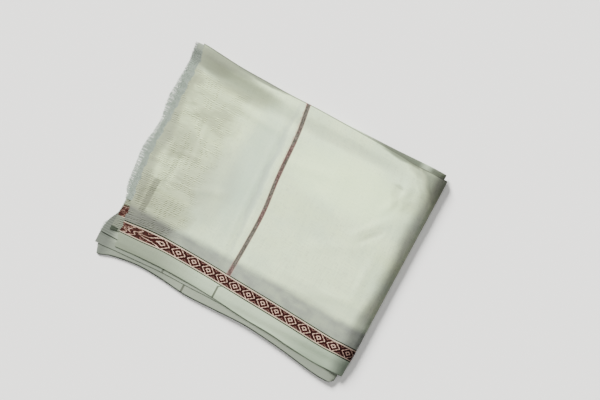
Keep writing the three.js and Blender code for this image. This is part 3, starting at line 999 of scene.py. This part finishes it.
def cross_stripe(dye, off_edge, place):
    """A woven band across the cloth, in full colour above the border and faint below it."""
    aside = dye.u - place
    above = off_edge.rises(BORDER_HIGH - 1, BORDER_HIGH + 1)
    below = off_edge.rises(BORDER_LOW + 1, BORDER_LOW - 1)
    threads = dye.noise((2.4, 3.8, 1), detail=1, seed=31)
    dye.blend(STRIPE_PINK, aside.between(-5.6, 5.4, 0.4) * above * 0.5)
    dye.blend(STRIPE_BROWN, aside.between(-4.5, 4.4, 0.4) * above)
    redder = dye.noise((9, 38, 1), detail=1, seed=33).rises(0.46, 0.58)
    dye.blend(STRIPE_RED, aside.between(-4.3, 4.2, 0.4) * above * redder * 0.6)
    specks = threads.rises(0.48, 0.64) * aside.between(-4.0, 3.9, 0.3)
    dye.blend(STRIPE_DARK, specks * above * 0.6)
    gaps = threads.rises(0.46, 0.32) * aside.between(-4.3, 4.2, 0.3)
    dye.blend(STRIPE_PALE, gaps * above * 0.5)
    dye.blend(STRIPE_GREEN, aside.between(-2.2, 2.2, 0.3) * below * 0.85)
    dotted = dye.noise((2, 6, 1), detail=0, seed=35).rises(0.45, 0.6)
    faint = aside.between(-7.6, -5.6, 0.5) * dotted * dye.y.rises(40, 120)
    dye.blend(STRIPE_PINK, faint * 0.5)


print("the cross stripe lies", STRIPE_AT, "mm along the thread map")

# %% [markdown]
# ## The loosely woven end
#
# Towards its cut end the cloth is gauzy. Its threads are set wide, they pucker into rows of small
# knots, and thick slubs lie along the cloth. Where another border lies just below, it greys the
# thin cloth above it. Shade is painted into the troughs and along the folds, and light onto one
# broad area. Knots of a tenth of a millimetre are too fine to model, so they are relief, with a
# painted highlight on each knot and painted shade between them.

# %% Loosen the weave near the cut end
KNOT_ROWS = 3.7  # millimetres from one row of knots to the next
KNOT_PITCH = 4.3  # and from knot to knot in a row


def gauzy_end(dye):
    wander = dye.noise((40, 34, 40), seed=41, threads=False) * 60 - 30
    loose = (dye.x + wander).rises(-122, -160) * dye.y.rises(198, 182)
    loose = loose * dye.v.rises(BORDER_HIGH, BORDER_HIGH + 2)
    slubs = dye.noise((9, 1.7, 1), detail=1.5, seed=43)
    gathered = dye.noise((20, 22, 20), detail=2, seed=47, threads=False)
    clusters = (gathered + dye.y.rises(70, 20) * 0.05).rises(0.44, 0.6)
    sway = dye.noise((26, 13, 1), seed=45) * 11
    rows = (dye.v * (2 * math.pi / KNOT_ROWS) + sway).wave()
    gathers = (dye.u * (2 * math.pi / KNOT_PITCH) + sway).wave()
    gathers = gathers * dye.noise((11, 8, 1), seed=49)
    knots = rows * (gathers * 1.2 + 0.65) * clusters * loose
    crinkle = dye.noise((13, 7, 1), detail=3, seed=51, roughness=0.6)
    dye.raise_by(knots * 4 + (slubs * 2 + crinkle * 8) * loose)
    dye.blend(tone(196, 201, 182), loose * 0.75)
    clouds = dye.noise((40, 26, 1), detail=2, seed=53)
    dye.blend(tone(182, 186, 168), clouds.rises(0.5, 0.35) * loose * 0.6)
    dye.blend(tone(206, 210, 192), clouds.rises(0.55, 0.7) * loose * 0.6)
    # painted highlight on the tops of the knots, and painted shade in the hollows between them
    dye.blend(tone(216, 219, 202), knots.rises(0.15, 0.8) * 0.6)
    dye.blend(tone(166, 170, 152), knots.rises(-0.15, -0.8) * 0.45)


print("rows of knots every", KNOT_ROWS, "mm")

# %% Paint shade into the troughs and along the folds, and a little light
# painted shade in the troughs, along the folds and on the roll's corner; the one tone lighter than
# the cloth is painted light
PAINTED_SHADE_AND_LIGHT = [  # middle (x, y), half length, half width, turn, how strongly, and the tone
    (-246, 209, 64, 18, 0, 0.85, (155, 160, 143)),
    (-160, 199, 90, 27, -2, 0.75, (166, 171, 154)),
    (-232, 227, 84, 13, -1, 0.9, (164, 168, 154)),
    (-135, 233, 66, 6, -1, 0.85, (150, 155, 143)),
    (60, 196, 130, 15, 1, 0.4, (190, 195, 182)),
    (110, 125, 130, 60, 0, 0.5, (217, 222, 207)),
    (-70, 55, 42, 150, 2, 0.55, (194, 203, 196)),
    (-41, 60, 7, 180, 3, 0.4, (186, 193, 188)),
    (-118, -5, 40, 100, 0, 0.5, (188, 194, 181)),
    (-200, -90, 75, 34, 0, 0.6, (172, 176, 158)),
    (-225, 45, 44, 32, 0, 0.5, (176, 179, 162)),
    (-262, 50, 17, 200, 2, 0.75, (174, 178, 164)),
    (-250, 170, 14, 12, 20, 0.6, (172, 175, 158)),
    (-160, -20, 40, 50, 20, 0.3, (186, 190, 176)),
    (190, -98, 130, 16, 0, 0.5, (198, 204, 192)),
    (264, 226, 56, 34, -56, 0.5, (114, 117, 104)),
    (284, 190, 60, 13, -84, 0.15, (100, 103, 92)),
    (224, 223, 36, 14, -14, 0.5, (158, 162, 147)),
    (182, 229, 60, 9, -1, 0.8, (104, 108, 96)),
    (210, 148, 12, 26, 8, 0.3, (178, 183, 168)),
    (207, 170, 12, 4, -6, 0.25, (172, 176, 162)),
    (240, 141, 20, 10, 62, 0.25, (176, 180, 164)),
    (203, 60, 30, 5, 50, 0.25, (182, 187, 172)),
    (246, 206, 36, 5, -50, 0.4, (198, 202, 186)),
    (256, 202, 36, 5, -52, 0.22, (136, 140, 125)),
    (240, 196, 30, 4, -50, 0.2, (166, 170, 154)),
]


def on_top(dye):
    """1 on the ply that shows, 0 past the lengthwise fold."""
    return dye.v.rises(HALF_CUT + 20, HALF_CUT)


def painted_shade_and_light(dye):
    upper = on_top(dye)
    drift_x = dye.x + dye.noise((40, 40, 40), seed=55, threads=False) * 30 - 15
    drift_y = dye.y + dye.noise((60, 24, 40), seed=57, threads=False) * 16 - 8
    for *oval, strength, seen in PAINTED_SHADE_AND_LIGHT:
        along, across = in_oval(drift_x, drift_y, *oval)
        off = along * along + across * across
        dye.blend(tone(*seen), off.rises(1.5, 0.15) * (upper * strength))
    # painted shade along the lengthwise fold, where the cloth turns under
    fold = dye.v.between(HALF_CUT - 2.2, HALF_CUT + 6, 0.8)
    dye.blend(tone(96, 101, 88), fold * 0.8)


print(len(PAINTED_SHADE_AND_LIGHT), "greyed places")

# %% Paint shade on the flank of the roll
FLANK_SHADE = (0.31, 0.275, 0.34, 1)  # the share of its colour that the darkest part keeps


def painted_flank_shade(dye):
    """Painted shade darkens the cloth where it turns down over the roll, away from the light."""
    later = dye.y.rises(90, 20) * dye.y.rises(-90, -20) * 5  # halfway along it starts later
    start = dye.x - later + dye.noise((30, 30, 30), seed=59, threads=False) * 10 - 5
    flank_shade = start.rises(236, 273) * (dye.x.rises(274, 282) * -0.1 + 1)
    flank_shade = flank_shade * (dye.y.rises(-70, -150) * -0.3 + 1)
    dye.blend(FLANK_SHADE, flank_shade * on_top(dye), "MULTIPLY")


print("the darkest part keeps", round(FLANK_SHADE[1], 2), "of its green")

# %% Show what lies below through the top ply
def seen_through(dye):
    """What lies below shows greyly through the one thin ply on top."""
    upper = on_top(dye)
    edge = dye.noise((30, 30, 30), seed=61, threads=False) * 6 - 3 + dye.x.rises(120, 220) * 4
    row = (dye.y + edge).rises(-103, -123) * dye.y.rises(-175, -160)
    ends = dye.x.rises(-268, -262)
    above_border = dye.v.rises(BORDER_HIGH + 0.5, BORDER_HIGH + 1.5)
    patchy = dye.noise((30, 16, 1), seed=63).rises(0.3, 0.7) * 0.12 + 0.74
    row = row * ends * upper * above_border
    dye.blend(tone(152, 154, 156), row * patchy)
    dye.blend(tone(120, 120, 109), row * dye.x.rises(-135, -175) * 0.64)
    ragged = dye.noise((9, 9, 9), seed=65, threads=False) * 5 - 2.5
    left_of = (dye.x + ragged).rises(-219, -222.5)
    patch = (dye.y + ragged).between(-116, -42, 2.5) * left_of * upper
    dye.blend(tone(158, 160, 144), patch * (dye.x + ragged).rises(-264, -240) * 0.5)
    dye.blend(tone(138, 140, 122), patch * dye.x.rises(-235, -232) * 0.5)


# %% Dye and weave the outermost length
cotton = Finish("handloom_cotton", OFF_WHITE)
plain_weave(cotton)
gauzy_end(cotton)
# painted shade and painted light on the uppermost ply
painted_shade_and_light(cotton)
seen_through(cotton)
off_edge = cotton.v.least(cotton.v * -1 + 2 * HALF_CUT)
selvedge(cotton, off_edge, tone(196, 203, 193))
border(cotton, off_edge)
cross_stripe(cotton, off_edge, STRIPE_AT)
strip = cotton.v.rises(BORDER_LOW, BORDER_LOW - 2)
cotton.blend(tone(162, 167, 153), strip * cotton.x.rises(-20, -170) * 0.8)
cotton.blend(tone(170, 181, 168), strip * cotton.x.rises(110, 220) * 0.6)
# painted shade on the roll's flank, over the real shade of the key light
painted_flank_shade(cotton)
# Its second ply shows past the cut end of the first, with a border of its own.
second_ply = cotton.v.rises(HALF_CUT, HALF_CUT + 20)
left_end = cotton.x.rises(-238, -242) * second_ply
dark_corner = cotton.x.rises(-249, -251) * cotton.y.rises(-167, -168)
cotton.blend(tone(150, 156, 143), left_end * cotton.y.rises(-142, -145))
cotton.blend(tone(142, 145, 132), left_end * cotton.y.rises(-119, -117) * 0.8)
cotton.blend(tone(66, 60, 50), left_end * cotton.y.between(-119.6, -117.6, 0.4) * 0.7)
in_border = left_end * cotton.y.between(-142, -119, 1)
cotton.blend(tone(92, 50, 46), in_border * 0.6)
cotton.blend(NEAR_BLACK, in_border * (cotton.y * (2 * math.pi / 5.6)).wave().rises(0, 1) * 0.45)
cotton.blend(tone(66, 78, 64), dark_corner * second_ply * 0.9)
# painted shade at the same corner, on the second ply
cotton.blend(tone(158, 163, 155), left_end * cotton.y.rises(204, 220) * 0.9)
end_cloth.data.materials.append(cotton.done(roughness=0.92))
print("the finish of the outermost length has", len(cotton.tree.nodes), "nodes")

# %% Dye and weave the plies below
below = Finish("handloom_cotton_below", tone(186, 190, 180))
plain_weave(below)
off_edge = below.v.least(below.v * -1 + 2 * HALF_CUT)
border(below, off_edge)
selvedge(below, off_edge, tone(180, 185, 176), 0.7)
cross_stripe(below, off_edge, STRIPE_BELOW)
# painted shade on the strips of the lower plies past the selvedges, darker at both ends
painted_edge_shade = below.x.rises(60, 230) * 0.3 + below.x.rises(-90, -150) * 0.35 + 0.2
below.blend(tone(130, 138, 128), painted_edge_shade * below.y.rises(-190, -200))
ribbed = below.x.rises(-240, -262) * below.y.rises(-60, -150)
# painted shade: dark bands every 5 mm stand for the shade between the ridges of the ply below
rib_shade = (below.y * (2 * math.pi / 5)).wave() * 0.5 + 0.5
below.blend(tone(142, 148, 140), ribbed * 0.95)
below.blend(tone(104, 110, 103), ribbed * rib_shade * below.y.rises(-200, -190) * 0.6)
# painted shade at the corner by the fold and the cut end
painted_corner_shade = below.x.rises(-258, -264) * below.y.rises(200, 218)
below.blend(tone(158, 163, 155), painted_corner_shade * 0.8)
# painted shadow on the lower plies under the edge of the outermost fold, weaker where lit marks
painted_fold_shadow = below.y.rises(222, 228) * below.x.rises(60, 150)
lit = below.x.between(226, 244, 9) * -0.6 + 1
below.blend(tone(90, 95, 84), painted_fold_shadow * lit * 0.85)
below_material = below.done(roughness=0.92)
inner_cloth.data.materials.append(below_material)
lower_cloth.data.materials.append(below_material)
print("the finish of the plies below has", len(below.tree.nodes), "nodes")

# %% Dye the loose yarns
yarn = Finish("loose_cotton_yarn", tone(173, 180, 174))
fibre = yarn.noise((3, 0.8, 2), seed=71, threads=False)
blotches = yarn.noise((14, 9, 9), seed=73, threads=False)
yarn.blend(tone(160, 168, 161), blotches.rises(0.4, 0.7) * 0.6)
yarn.blend(tone(192, 198, 190), fibre.rises(0.55, 0.75) * 0.4)
# painted shade: the yarns darken towards the corner by the fold
yarn.blend(tone(150, 156, 149), yarn.y.rises(186, 212) * 0.65)
yarn.raise_by(fibre)
yarn_material = yarn.done(roughness=0.95)
end_fray.data.materials.append(yarn_material)
inner_fray.data.materials.append(yarn_material)
print("the finish of the yarns has", len(yarn.tree.nodes), "nodes")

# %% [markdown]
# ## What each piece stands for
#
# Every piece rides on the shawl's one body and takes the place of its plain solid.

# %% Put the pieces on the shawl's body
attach(end_cloth, "root")
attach(inner_cloth, "root")
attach(lower_cloth, "root")
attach(end_fray, "root")
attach(inner_fray, "root")
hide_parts("end_panel")
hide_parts("inner_panel")
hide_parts("lower_plies")
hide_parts("end_fringe")
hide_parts("inner_fringe")
